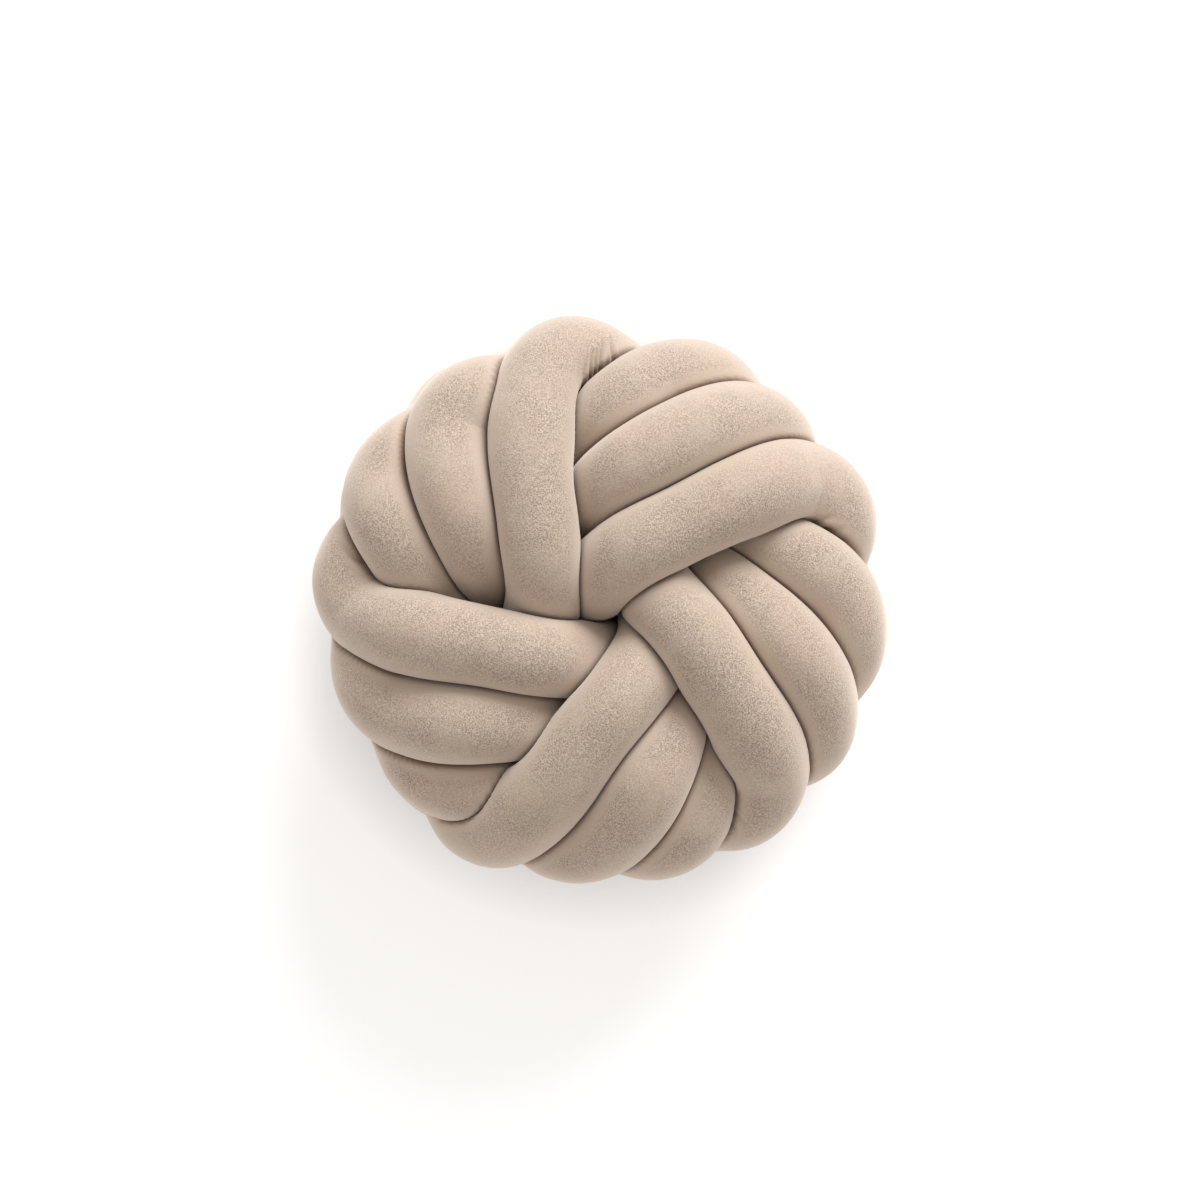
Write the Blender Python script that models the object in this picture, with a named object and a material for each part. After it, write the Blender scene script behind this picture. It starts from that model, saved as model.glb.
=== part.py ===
"""Round knot cushion, wound from three stuffed cloth tubes laid side by side.

The three tubes run as one band. From the middle of the face the band goes out in a
curved arm, turns over the rim, comes back in across the under side and rises through
the core to start the next arm. Five such turns close each tube on itself. The cushion
lies on its back: +Z is the face, +Y the top of the face, and the origin is the middle
of the footprint at floor level. Units are metres; the tables are in millimetres.
"""

import math
from collections import namedtuple

import bpy
import numpy as np

# ---------------------------------------------------------------- driving sizes
TUBE = 0.068            # diameter of a stuffed tube
HALF_HEIGHT = 1.32      # highest centreline above mid height, in tube diameters
SHOULDER_POWER = 3.0    # roundness of the whole cushion: 2 is an ellipse, more is squarer
FLAT_DEPTH = 0.009      # how far the floor presses the lowest turns flat
SKIN_GAP = 0.0025       # clear space between two tubes that press on each other
PRESSED = 0.92          # spacing that pressed tubes try to keep, in tube diameters
MOST_BULGE = 1.08       # most that a pressed tube swells where it is free
RIM_SWELL = 1.00        # how much the tubes swell at the rim
TIGHTEST_BEND = 0.70    # smallest bend radius of a centreline, in tube diameters
OWN_REACH = 1.6         # stretch of a tube that cannot press on itself, in diameters

ARMS = 5
ARM_ANGLE = 2 * math.pi / ARMS
CORE_CENTRE = (8.0, -12.0)       # middle of the pinwheel, mm
REGULAR_CENTRE = (0.0, -3.0)     # middle of the five arms taken together, mm
FLIP_AXIS = math.radians(84.0)   # the back is the face turned over about this line

ROUTE_STEP = 0.014      # spacing of centreline points while the tubes settle
SECTION_STEP = 0.020    # spacing of the lofted sections
SIDES = 16              # sides of a section
NEAR_STEP = 0.005       # spacing of the points that stand for a neighbouring tube
NEAR_REACH = 1.2        # how far a neighbour is looked for, in swollen tube diameters
OWN_BEND_SHARE = 0.9    # how near to its bend's centre the inside of a tube may come
SWELL_ROUNDS = 4        # rounds in which a section's swelling is worked out
EVEN_ROUNDS = 3         # times that the swelling is evened out along the tube

# What one round of settling does, as shares of the whole move
SETTLE_ROUNDS = 220
PUSH = 0.9              # of an overlap between two tubes
PLAN_GRIP = 0.8         # lost of a sideways push where the plan is held
PLAN_RISE = 0.6         # added to an upward or downward push there
PLAN_PULL = 0.4         # of the way back to the drawn plan
PLAN_REACH = 4          # points either way among which the nearest drawn one is looked for
RIM_PULL = 0.7          # of the way back inside the outline
TOP_PULL = 0.6          # of the way back under the rounded form
SWELL_PULL = 0.12       # of the way out to the rounded form
STIFF_PASSES = 3        # passes of the tubes' own stiffness
FAIRING = 0.35          # of a change of bend
EVENING = 0.5           # of an uneven spacing
TIGHTENING = 0.01       # of a bend
UNKINKING = 0.7         # of a bend that is too sharp

COLLECTION = "knot_cushion"
VELVET = (0.56, 0.45, 0.35, 1.0)

# ---------------------------------------------------------------- the drawn arms
# A row for each arm and lay, counted from the arm at the top: the plan of the centreline
# on the face, in mm from the middle, from where it leaves the core to where it dives
# under the next tube.
Run = namedtuple("Run", "arm lay tuck inner chest shoulder turn hook under tail")
RUNS = (
    Run(0, 1, (-33, -8), (-42, 27), (-50, 86), (-51, 126),
        (-46, 160), (-36, 184), (-22, 191), (14, 168)),
    Run(0, 2, (-82, 6), (-88, 28), (-108, 75), (-116, 110),
        (-118, 132), (-115, 144), (-107, 154), (-81, 153)),
    Run(0, 3, (-132, 6), (-140, 24), (-150, 45), (-159, 59),
        (-165, 74), (-166, 85), (-162, 97), (-140, 111)),
    Run(1, 1, (-11, -46), (-39, -45), (-102, -34), (-141, -25),
        (-173, -15), (-187, -3), (-192, 12), (-182, 37)),
    Run(1, 2, (-43, -96), (-79, -96), (-111, -96), (-135, -93),
        (-153, -85), (-165, -77), (-172, -67), (-172, -39)),
    Run(1, 3, (-69, -140), (-82, -141), (-94, -141), (-106, -141),
        (-118, -139), (-127, -134), (-134, -128), (-139, -105)),
    Run(2, 1, (37, -49), (28, -65), (-17, -120), (-42, -150),
        (-67, -169), (-83, -176), (-96, -173), (-100, -158)),
    Run(2, 2, (57, -88), (51, -110), (36, -145), (22, -166),
        (9, -178), (-3, -185), (-17, -187), (-38, -177)),
    Run(2, 3, (80, -130), (79, -145), (76, -155), (72, -167),
        (66, -177), (60, -181), (50, -184), (24, -181)),
    Run(3, 1, (34, 10), (56, -8), (99, -64), (117, -95),
        (130, -125), (131, -146), (119, -159), (91, -162)),
    Run(3, 2, (80, 27), (102, 7), (133, -25), (159, -55),
        (169, -78), (167, -93), (160, -108), (144, -117)),
    Run(3, 3, (130, 45), (143, 37), (155, 27), (169, 20),
        (183, 5), (190, -16), (188, -39), (176, -59)),
    Run(4, 1, (-7, 9), (19, 32), (79, 67), (114, 81),
        (150, 92), (176, 89), (186, 72), (177, 38)),
    Run(4, 2, (-6, 80), (16, 95), (47, 112), (76, 126),
        (100, 134), (115, 135), (127, 132), (135, 115)),
    Run(4, 3, (-9, 127), (5, 140), (20, 150), (32, 158),
        (47, 165), (64, 168), (81, 164), (100, 146)),
)

# The outline of the face: each tube's lobe, from its farthest point from the middle to
# the notch after it, as directions in degrees and distances in mm.
Lobe = namedtuple("Lobe", "bulge_direction bulge notch_direction notch")
LOBES = (
    Lobe(21.7, 230, 8.0, 211),
    Lobe(42.4, 217, 36.0, 208),
    Lobe(60.6, 217, 53.0, 210),
    Lobe(99.1, 224, 81.0, 198),
    Lobe(125.9, 222, 112.0, 202),
    Lobe(150.0, 220, 136.0, 207),
    Lobe(173.0, 225, 163.0, 208),
    Lobe(201.0, 219, 189.0, 207),
    Lobe(224.9, 219, 213.0, 206),
    Lobe(242.2, 231, 232.0, 214),
    Lobe(265.3, 221, 255.0, 214),
    Lobe(285.0, 224, 275.0, 215),
    Lobe(305.9, 230, 296.0, 218),
    Lobe(328.5, 227, 318.0, 218),
    Lobe(351.1, 227, 339.0, 219),
)

# The places along one arm: how firmly the settled tube keeps to the drawn plan there,
# how firmly it is drawn out to the cushion's rounded outer form, and how full it is.
Place = namedtuple("Place", "column hold swell full")
PLACES = (
    Place("core", 0.15, 0.0, 0.84),
    Place("tuck", 0.9, 0.0, 0.85),
    Place("inner", 1.0, 0.0, 0.88),
    Place("chest", 1.0, 0.0, 0.93),
    Place("shoulder", 1.0, 0.3, 0.95),
    Place("turn", 1.0, 0.6, 0.97),
    Place("hook", 1.0, 1.0, 0.98),
    Place("under", 1.0, 1.0, 1.00),
    Place("tail", 0.8, 0.5, 1.02),
)
BACK_HOLD = 0.25        # share of that hold on the under side

# Height of each lay over mid height at those places, in tube diameters: the first lay
# rides on the second and the second on the third.
LAY_HEIGHT = {
    1: (0.12, 0.45, 0.85, 1.20, 1.20, 1.05, 0.75, 0.45, 0.10),
    2: (0.16, 0.37, 0.67, 1.00, 1.05, 0.95, 0.70, 0.45, 0.10),
    3: (0.10, 0.19, 0.46, 0.80, 0.90, 0.85, 0.65, 0.45, 0.10),
}

# Where a lay rises through the core: distance from the core's middle in tube diameters,
# and direction in degrees for the first arm.
Core = namedtuple("Core", "distance direction")
CORE = {1: Core(0.66, 195.0), 2: Core(1.50, 177.0), 3: Core(1.55, 212.0)}

# Turning over swaps the second and third lays. For each lay: the arm (counted from its
# own) and the lay whose shape the back follows, then the arm that it comes up in next.
Back = namedtuple("Back", "arm_offset lay next_arm")
BACK = {1: Back(0, 1, 2), 2: Back(4, 3, 3), 3: Back(4, 2, 3)}

NODES = {1: "tube_first_lay", 2: "tube_second_lay", 3: "tube_third_lay"}


# ---------------------------------------------------------------- drawing the route
def turned(points, angle):
    """The points turned about the Z axis."""
    cosine, sine = math.cos(angle), math.sin(angle)
    result = np.array(points, dtype=float)
    result[:, 0] = cosine * points[:, 0] - sine * points[:, 1]
    result[:, 1] = sine * points[:, 0] + cosine * points[:, 1]
    return result


def face_route(run):
    """Points of one arm of one lay, from the core near mid height to the rim."""
    core = CORE[run.lay]
    angle = math.radians(core.direction) + run.arm * ARM_ANGLE
    rise = (
        CORE_CENTRE[0] + core.distance * TUBE * 1000 * math.cos(angle),
        CORE_CENTRE[1] + core.distance * TUBE * 1000 * math.sin(angle),
    )
    plan = [rise] + [getattr(run, place.column) for place in PLACES[1:]]
    return np.array([
        (x / 1000, y / 1000, height * TUBE)
        for (x, y), height in zip(plan, LAY_HEIGHT[run.lay])
    ])


def regular_route(lay):
    """The mean of a lay's five arms, each turned back to the first arm's place."""
    centre = np.array((REGULAR_CENTRE[0] / 1000, REGULAR_CENTRE[1] / 1000, 0.0))
    arms = [
        turned(face_route(run) - centre, -run.arm * ARM_ANGLE)
        for run in RUNS
        if run.lay == lay
    ]
    return sum(arms) / ARMS


def back_route(arm, lay):
    """Points of one turn of a lay on the under side, from the rim in to the core."""
    back = BACK[lay]
    face = turned(regular_route(back.lay), back.arm_offset * ARM_ANGLE)
    cosine, sine = math.cos(2 * FLIP_AXIS), math.sin(2 * FLIP_AXIS)
    flipped = np.array(face)
    flipped[:, 0] = cosine * face[:, 0] + sine * face[:, 1]
    flipped[:, 1] = sine * face[:, 0] - cosine * face[:, 1]
    flipped[:, 2] = -face[:, 2]
    return turned(flipped, arm * ARM_ANGLE)[::-1]


def drawn_loop(lay):
    """A lay's whole closed route, with the hold, swell and fullness of each point."""
    face_grip = [(place.hold, place.swell, place.full) for place in PLACES]
    back_grip = [(BACK_HOLD * hold, *rest) for hold, *rest in reversed(face_grip)][1:]
    points, grip = [], []
    arm = 0
    for _ in range(ARMS):
        run = next(row for row in RUNS if row.arm == arm and row.lay == lay)
        points.extend(face_route(run))
        points.extend(back_route(arm, lay)[1:])
        grip.extend(face_grip)
        grip.extend(back_grip)
        arm = (arm + BACK[lay].next_arm) % ARMS
    return np.array(points), np.array(grip)


def smooth_loop(points, pieces=8):
    """A closed centripetal Catmull-Rom curve through the points."""
    curve = []
    count = len(points)
    share = np.arange(pieces)[:, None] / pieces
    for index in range(count):
        a, b, c, d = (points[(index + shift) % count] for shift in (-1, 0, 1, 2))
        t1 = math.sqrt(np.linalg.norm(b - a))
        t2 = t1 + math.sqrt(np.linalg.norm(c - b))
        t3 = t2 + math.sqrt(np.linalg.norm(d - c))
        t = t1 + share * (t2 - t1)
        ab = ((t1 - t) * a + t * b) / t1
        bc = ((t2 - t) * b + (t - t1) * c) / (t2 - t1)
        cd = ((t3 - t) * c + (t - t2) * d) / (t3 - t2)
        abc = ((t2 - t) * ab + t * bc) / t2
        bcd = ((t3 - t) * bc + (t - t1) * cd) / (t3 - t1)
        curve.append(((t2 - t) * abc + (t - t1) * bcd) / (t2 - t1))
    return np.vstack(curve)


def spread_along(values, pieces=8):
    """Values at a loop's points, spread evenly over the pieces between them."""
    count = len(values)
    closed = np.vstack((values, values[:1]))
    places = np.arange(count * pieces) / pieces
    columns = [np.interp(places, np.arange(count + 1), column) for column in closed.T]
    return np.stack(columns, 1)


def evenly_spaced(points, step):
    """Rows of a closed polyline at equal steps: its first three columns are its points."""
    closed = np.vstack((points, points[:1]))
    lengths = np.linalg.norm(np.diff(closed[:, :3], axis=0), axis=1)
    along = np.concatenate(([0.0], np.cumsum(lengths)))
    places = np.linspace(0.0, along[-1], int(round(along[-1] / step)), endpoint=False)
    return np.stack([np.interp(places, along, column) for column in closed.T], 1)


# ---------------------------------------------------------------- settling the tubes
class Loops:
    """Closed centrelines kept in one array, with each point's neighbours."""

    def __init__(self, routes):
        counts = [len(route) for route in routes]
        self.starts = np.concatenate(([0], np.cumsum(counts)))
        self.loop = np.repeat(np.arange(len(routes)), counts)
        self.place = np.concatenate([np.arange(count) for count in counts])
        self.size = np.array(counts)[self.loop]
        self.first = self.starts[self.loop]
        self.after = self.shifted(1)
        self.before = self.shifted(-1)

    def shifted(self, shift):
        """Index of the point that lies some places further along each loop."""
        return self.first + (self.place + shift) % self.size

    def apart(self, steps):
        """Pairs of points that lie on other tubes, or further than that along one."""
        gap = np.abs(self.place[:, None] - self.place[None, :])
        gap = np.minimum(gap, self.size[:, None] - gap)
        same = self.loop[:, None] == self.loop[None, :]
        return ~(same & (gap < steps))

    def split(self, points):
        """The points of each loop."""
        return [points[a:b] for a, b in zip(self.starts[:-1], self.starts[1:])]


def outline_points():
    """Points of the face's outline: lobes that fall off to a notch on either side."""
    direction = np.arange(360.0)
    bulge = around(direction, [(lobe.bulge_direction, lobe.bulge) for lobe in LOBES])
    notch = around(direction, [(lobe.notch_direction, lobe.notch) for lobe in LOBES])
    fall = around(
        direction,
        [(lobe.bulge_direction, 0.0) for lobe in LOBES]
        + [(lobe.notch_direction, 1.0) for lobe in LOBES],
    )
    reach = (bulge - (bulge - notch) * fall ** 2) / 1000
    angle = np.radians(direction)
    return reach[:, None] * np.stack((np.cos(angle), np.sin(angle)), 1)


def around(direction, rows):
    """Values between rows of direction and value that go once round the middle."""
    angles, values = np.array(sorted(rows)).T
    angles = np.concatenate((angles - 360, angles, angles + 360))
    return np.interp(direction, angles, np.tile(values, 3))


def rim_distances():
    """Farthest that a tube's centreline may lie from the middle, for each degree."""
    outline = outline_points()
    clear = RIM_SWELL * TUBE / 2
    angle = np.radians(np.arange(360.0))
    heading = np.stack((np.cos(angle), np.sin(angle)), 1)
    ahead = heading @ outline.T
    aside = heading[:, :1] * outline[:, 1] - heading[:, 1:] * outline[:, 0]
    near = (np.abs(aside) < clear) & (ahead > 0)
    back = np.sqrt(np.clip(clear ** 2 - aside ** 2, 0, None))
    return np.where(near, ahead - back, np.inf).min(1)


def rim_limit(points, rim):
    """Farthest that a centreline may lie from the middle, in each point's direction."""
    direction = np.degrees(np.arctan2(points[:, 1], points[:, 0])) % 360
    return np.interp(direction, np.arange(361), np.append(rim, rim[0]))


def pushed_apart(points, apart, hold):
    """One step of pressed tubes moving each other away, mostly up or down."""
    offset = points[:, None] - points[None, :]
    distance = np.sqrt((offset ** 2).sum(-1)) + 1e-9
    overlap = np.where(apart, np.clip(PRESSED * TUBE - distance, 0, None), 0)
    touching = (overlap > 0).sum(1).clip(1)
    move = ((overlap / distance)[:, :, None] * offset).sum(1) / touching[:, None] * PUSH
    move[:, :2] *= (1 - PLAN_GRIP * hold)[:, None]
    move[:, 2] *= 1 + PLAN_RISE * hold
    return points + move


def held_to_plan(points, drawn, hold, window):
    """One step back towards the nearest drawn point in plan."""
    distance = ((points[:, None, :2] - drawn[window][:, :, :2]) ** 2).sum(-1)
    nearest = window[np.arange(len(points)), distance.argmin(1)]
    points[:, :2] += (PLAN_PULL * hold)[:, None] * (drawn[nearest, :2] - points[:, :2])
    return points


def kept_in_form(points, swell, rim):
    """One step down or in from outside the rounded form, or out to it where it swells."""
    power = SHOULDER_POWER
    limit = rim_limit(points, rim)
    across = np.hypot(points[:, 0], points[:, 1]) / limit
    points[:, :2] *= (1 + RIM_PULL * (1 / np.maximum(across, 1) - 1))[:, None]
    top = HALF_HEIGHT * TUBE * (1 - np.minimum(across, 0.995) ** power) ** (1 / power)
    above = points[:, 2] - np.clip(points[:, 2], -top, top)
    points[:, 2] -= TOP_PULL * above
    upward = np.abs(points[:, 2]) / (HALF_HEIGHT * TUBE)
    size = np.clip((across ** power + upward ** power) ** (1 / power), 0.5, 1)
    return points * (1 + SWELL_PULL * swell * (1 / size - 1))[:, None]


def stiffened(points, loops):
    """One step of the tubes' own stiffness: fair curves, even spacing, no kinks."""
    middle = (points[loops.after] + points[loops.before]) / 2 - points
    bend = (middle[loops.after] + middle[loops.before]) / 2 - middle
    tangent = points[loops.after] - points[loops.before]
    tangent /= np.linalg.norm(tangent, axis=1)[:, None]
    along = (middle * tangent).sum(1)[:, None] * tangent
    points = points - FAIRING * bend + EVENING * along + TIGHTENING * middle
    half = np.linalg.norm(points[loops.after] - points[loops.before], axis=1) / 2
    middle = (points[loops.after] + points[loops.before]) / 2 - points
    curvature = 2 * np.linalg.norm(middle, axis=1) / half ** 2
    kink = np.clip(curvature * TIGHTEST_BEND * TUBE - 1, 0, 1)
    return points + UNKINKING * kink[:, None] * middle


def settled_routes():
    """The three centrelines, after the tubes have pressed each other into place."""
    rows = []
    for lay in sorted(NODES):
        points, grip = drawn_loop(lay)
        curve = np.hstack((smooth_loop(points), spread_along(grip)))
        rows.append(evenly_spaced(curve, ROUTE_STEP))
    loops = Loops(rows)
    drawn, (hold, swell, full) = np.vstack(rows)[:, :3], np.vstack(rows)[:, 3:].T
    apart = loops.apart(OWN_REACH * TUBE / ROUTE_STEP)
    window = np.stack([loops.shifted(shift) for shift in range(-PLAN_REACH, PLAN_REACH + 1)], 1)
    rim = rim_distances()
    points = drawn.copy()
    for _ in range(SETTLE_ROUNDS):
        points = pushed_apart(points, apart, hold)
        points = held_to_plan(points, drawn, hold, window)
        points = kept_in_form(points, swell, rim)
        for _ in range(STIFF_PASSES):
            points = stiffened(points, loops)
    return loops.split(np.hstack((points, full[:, None])))


# ---------------------------------------------------------------- pressed sections
def respaced(route, step):
    """A settled centreline as a smooth curve at another spacing."""
    curve = np.hstack((smooth_loop(route[:, :3]), spread_along(route[:, 3:])))
    return evenly_spaced(curve, step)


def section_frames(route):
    """Two side directions of each section, carried along the loop without a jump."""
    tangents = np.roll(route, -1, 0) - np.roll(route, 1, 0)
    tangents /= np.linalg.norm(tangents, axis=1)[:, None]
    count = len(route)
    sides = np.zeros_like(route)
    side = np.cross(tangents[0], (0.0, 0.0, 1.0))
    for index in range(count + 1):
        tangent = tangents[index % count]
        side = side - tangent * side.dot(tangent)
        side = side / np.linalg.norm(side)
        if index < count:
            sides[index] = side
    cosine = sides[0].dot(side)
    sine = np.cross(side, sides[0]).dot(tangents[0])
    twist = math.atan2(sine, cosine) * np.arange(count) / count
    crosses = np.cross(tangents, sides)
    turned_sides = np.cos(twist)[:, None] * sides + np.sin(twist)[:, None] * crosses
    return turned_sides, np.cross(tangents, turned_sides)


def own_bend_limit(route, direction):
    """Farthest a skin point may lie on the inside of its own tube's bend."""
    before, after = np.roll(route, 1, 0), np.roll(route, -1, 0)
    half = np.linalg.norm(after - before, axis=1) / 2
    bend = 2 * ((after + before) / 2 - route) / (half ** 2)[:, None]
    inside = (direction * bend[:, None, :]).sum(-1)
    return OWN_BEND_SHARE / np.maximum(inside, 1e-6)


def pressed_limit(route, direction, neighbours, far_enough):
    """Farthest that the skin may lie along each direction of each section.

    The limit is the surface that is equally far from both centrelines where another
    tube presses, less half the skin gap, and the inside of the tube's own bend.
    """
    limit = own_bend_limit(route, direction)
    for index, centre in enumerate(route):
        offset = neighbours[far_enough[index]] - centre
        square = (offset ** 2).sum(1)
        near = square < (NEAR_REACH * MOST_BULGE * TUBE) ** 2
        if not near.any():
            continue
        toward = direction[index] @ offset[near].T + SKIN_GAP
        half_way = (square[near] - SKIN_GAP ** 2) / (2 * np.maximum(toward, 1e-9))
        limit[index] = np.minimum(limit[index], half_way.min(1))
    return limit


def swollen_radius(limit, full):
    """Skin radii that keep a section's area: what is pressed in comes out elsewhere."""
    free = full * TUBE / 2
    bulge = np.ones(len(limit))
    for _ in range(SWELL_ROUNDS):
        radius = np.minimum(limit, (bulge * free)[:, None])
        share = (radius ** 2).mean(1) / free ** 2
        bulge = np.clip(bulge / np.sqrt(share), 1, MOST_BULGE)
    for _ in range(EVEN_ROUNDS):
        bulge = (np.roll(bulge, 1) + bulge + np.roll(bulge, -1)) / 3
    return np.minimum(limit, (bulge * free)[:, None])


def skin_points(route, own, crowd):
    """Rings of skin points of one tube, in the crowd of all the tubes' points."""
    crowd_points, crowd_tube, crowd_along = crowd
    route, full = route[:, :3], route[:, 3]
    side, cross = section_frames(route)
    angle = np.arange(SIDES) * 2 * math.pi / SIDES
    direction = (
        np.cos(angle)[None, :, None] * side[:, None, :]
        + np.sin(angle)[None, :, None] * cross[:, None, :]
    )
    place = np.arange(len(route)) / len(route)
    apart = np.abs(place[:, None] - crowd_along[None, :])
    apart = np.minimum(apart, 1 - apart) * len(route) * SECTION_STEP
    far_enough = (crowd_tube != own)[None, :] | (apart > OWN_REACH * TUBE)
    radius = swollen_radius(pressed_limit(route, direction, crowd_points, far_enough), full)
    return route[:, None, :] + radius[:, :, None] * direction


def crowd_of(routes):
    """Close-set points of every centreline, with their tube and share of its length."""
    points, tubes, along = [], [], []
    for number, route in enumerate(routes):
        dense = respaced(route, NEAR_STEP)[:, :3]
        points.append(dense)
        tubes.append(np.full(len(dense), number))
        along.append(np.arange(len(dense)) / len(dense))
    return np.vstack(points), np.concatenate(tubes), np.concatenate(along)


# ---------------------------------------------------------------- making the objects
def loft(name, rings):
    """A closed ring-shaped mesh through the sections."""
    count, sides = rings.shape[:2]
    faces = []
    for ring in range(count):
        ahead = (ring + 1) % count
        for side in range(sides):
            beside = (side + 1) % sides
            faces.append((
                ring * sides + side,
                ring * sides + beside,
                ahead * sides + beside,
                ahead * sides + side,
            ))
    mesh = bpy.data.meshes.new(name)
    mesh.from_pydata(rings.reshape(-1, 3).tolist(), [], faces)
    mesh.update()
    mesh.shade_smooth()
    return mesh


def velvet(name):
    """A plain beige velvet."""
    material = bpy.data.materials.new(name)
    material.use_nodes = True
    shader = material.node_tree.nodes["Principled BSDF"]
    shader.inputs["Base Color"].default_value = VELVET
    shader.inputs["Roughness"].default_value = 0.9
    shader.inputs["Metallic"].default_value = 0.0
    return material


def clear_scene():
    """Remove what the scene holds."""
    for item in list(bpy.data.objects):
        bpy.data.objects.remove(item, do_unlink=True)


def main():
    """Build the cushion's three tubes."""
    clear_scene()
    collection = bpy.data.collections.new(COLLECTION)
    bpy.context.scene.collection.children.link(collection)
    routes = settled_routes()
    crowd = crowd_of(routes)
    skins = [
        skin_points(respaced(route, SECTION_STEP), number, crowd)
        for number, route in enumerate(routes)
    ]
    every = np.vstack([skin.reshape(-1, 3) for skin in skins])
    low, high = every.min(0), every.max(0)
    floor = low[2] + FLAT_DEPTH
    origin = np.array(((low[0] + high[0]) / 2, (low[1] + high[1]) / 2, floor))
    for lay, skin in zip(sorted(NODES), skins):
        skin = skin - origin
        skin[:, :, 2] = np.maximum(skin[:, :, 2], 0.0)
        item = bpy.data.objects.new(NODES[lay], loft(NODES[lay], skin))
        item.data.materials.append(velvet(f"velvet_{lay}"))
        collection.objects.link(item)


main()
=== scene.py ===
"""Looks of a round knot cushion: three stuffed velvet tubes wound side by side.

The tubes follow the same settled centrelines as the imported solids. Here each gets a fine
skin with the sections that its neighbours press into it, the folds at its hooks and on the
inside of its bends, the unevenness of its filling and a short-pile velvet. The cushion lies
on its back under soft light, with the camera straight above its face. Units are metres;
tables are in millimetres and degrees.
"""

import logging
import math
from dataclasses import dataclass, field
from enum import Enum
from typing import Dict, List, NamedTuple, Sequence, Tuple, Union

import bpy
import numpy as np
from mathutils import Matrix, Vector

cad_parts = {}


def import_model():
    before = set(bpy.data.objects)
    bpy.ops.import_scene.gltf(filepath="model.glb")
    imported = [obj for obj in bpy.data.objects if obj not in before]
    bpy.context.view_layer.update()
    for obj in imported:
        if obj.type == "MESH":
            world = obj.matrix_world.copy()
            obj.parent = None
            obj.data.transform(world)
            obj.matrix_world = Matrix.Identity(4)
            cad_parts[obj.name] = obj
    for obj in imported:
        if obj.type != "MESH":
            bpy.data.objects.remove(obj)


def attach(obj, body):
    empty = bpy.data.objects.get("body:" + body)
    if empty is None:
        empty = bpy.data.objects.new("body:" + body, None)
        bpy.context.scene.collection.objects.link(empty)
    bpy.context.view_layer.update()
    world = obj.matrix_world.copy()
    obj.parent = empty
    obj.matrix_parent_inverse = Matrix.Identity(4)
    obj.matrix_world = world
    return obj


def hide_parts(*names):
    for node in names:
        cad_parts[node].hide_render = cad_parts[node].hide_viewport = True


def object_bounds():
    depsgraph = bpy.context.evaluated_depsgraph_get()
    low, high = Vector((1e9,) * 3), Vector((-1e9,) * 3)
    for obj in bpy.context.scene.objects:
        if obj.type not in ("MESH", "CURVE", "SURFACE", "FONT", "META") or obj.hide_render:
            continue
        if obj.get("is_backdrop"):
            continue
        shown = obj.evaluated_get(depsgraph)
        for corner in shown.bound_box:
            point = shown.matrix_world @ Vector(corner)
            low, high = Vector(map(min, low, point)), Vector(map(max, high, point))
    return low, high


LOG = logging.getLogger("knot_cushion")

# Millimetres in a metre, and the whole degrees round the middle.
MM_IN_M = 1000
DEGREES = np.arange(360.0)

# Points that stand for each span of a drawn line.
SPAN_PIECES = 8

# The least distance and the least curvature that a division uses.
TINY = 1e-9
SLIGHT = 1e-6

Point = Tuple[float, float]
Pair = Tuple[float, float]
Colour = Tuple[float, float, float]
Socket = bpy.types.NodeSocket
Value = Union[float, str, Tuple[float, ...], Socket]


class Lay(Enum):
    """The three tubes of the band, named by how they lie on the face."""

    FIRST = 1
    SECOND = 2
    THIRD = 3


class Run(NamedTuple):
    """One lay of one arm: its plan on the face, from the core to the next tube's edge."""

    arm: int
    lay: int
    tuck: Point
    inner: Point
    chest: Point
    shoulder: Point
    turn: Point
    hook: Point
    under: Point
    tail: Point


class Lobe(NamedTuple):
    """A tube's lobe on the outline: its farthest point, and the notch after it."""

    bulge_direction: float
    bulge: float
    notch_direction: float
    notch: float


class Place(NamedTuple):
    """A place along an arm: how firmly it keeps its plan, its draw outwards, its fullness."""

    column: str
    hold: float
    swell: float
    full: float


class Core(NamedTuple):
    """Where a lay rises: distance from the core's middle in diameters, and direction."""

    distance: float
    direction: float


class Back(NamedTuple):
    """The arm and lay that a lay's back follows, and the arm that it comes up in next."""

    arm_offset: int
    lay: int
    next_arm: int


class Crease(NamedTuple):
    """A fold in the cloth, drawn in plan on one tube, from its start to its end."""

    lay: int
    start: Point
    end: Point
    width: float
    depth: float


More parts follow.
